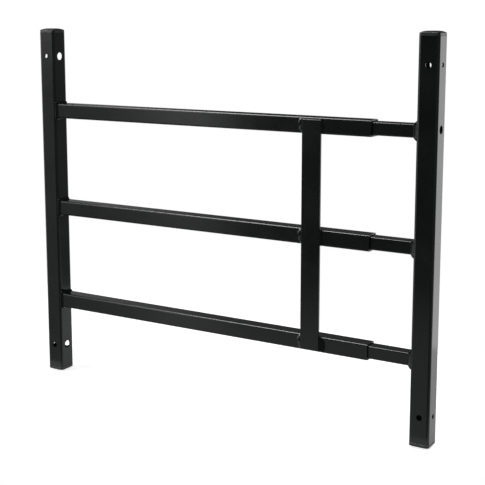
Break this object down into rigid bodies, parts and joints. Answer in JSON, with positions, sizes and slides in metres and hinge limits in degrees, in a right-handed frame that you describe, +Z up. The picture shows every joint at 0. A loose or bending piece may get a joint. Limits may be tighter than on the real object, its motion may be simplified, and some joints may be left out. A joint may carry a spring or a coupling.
{
  "type": "window security bar",
  "caption": "Adjustable window guard: two square posts joined by telescoping square bars, with a flat strap welded across the wider tubes.",
  "frame": {"origin": "centre of the pair of screw holes in the left post's outer face, half way up and in the middle of the post's depth", "axes": "+X along the bars from the left post to the right post, -Y towards the room (the side with the strap), +Z up along the posts"},
  "size_m": [0.577, 0.0255, 0.486],
  "materials": {
    "post_coating": "semi-gloss black powder coat",
    "bar_coating": "semi-gloss black powder coat",
    "strap_coating": "semi-gloss black powder coat",
    "weld_coating": "black powder coat over rippled weld",
    "cap_plastic": "matt black"
  },
  "bodies": {
    "left_half": {"left_post": "post_coating", "left_top_cap": "cap_plastic", "left_bottom_cap": "cap_plastic", "outer_bar_top": "bar_coating", "outer_bar_middle": "bar_coating", "outer_bar_bottom": "bar_coating", "strap": "strap_coating", "left_weld_top": "weld_coating", "left_weld_middle": "weld_coating", "left_weld_bottom": "weld_coating", "strap_left_weld_top": "weld_coating", "strap_left_weld_middle": "weld_coating", "strap_left_weld_bottom": "weld_coating", "strap_right_weld_top": "weld_coating", "strap_right_weld_middle": "weld_coating", "strap_right_weld_bottom": "weld_coating"},
    "right_half": {"right_post": "post_coating", "right_top_cap": "cap_plastic", "right_bottom_cap": "cap_plastic", "inner_bar_top": "bar_coating", "inner_bar_middle": "bar_coating", "inner_bar_bottom": "bar_coating", "right_weld_top": "weld_coating", "right_weld_middle": "weld_coating", "right_weld_bottom": "weld_coating"}
  },
  "joints": [
    {"name": "width_slide", "type": "slide", "parent": "left_half", "child": "right_half", "axis": [1, 0, 0], "range_m": [-0.05, 0.3]}
  ]
}
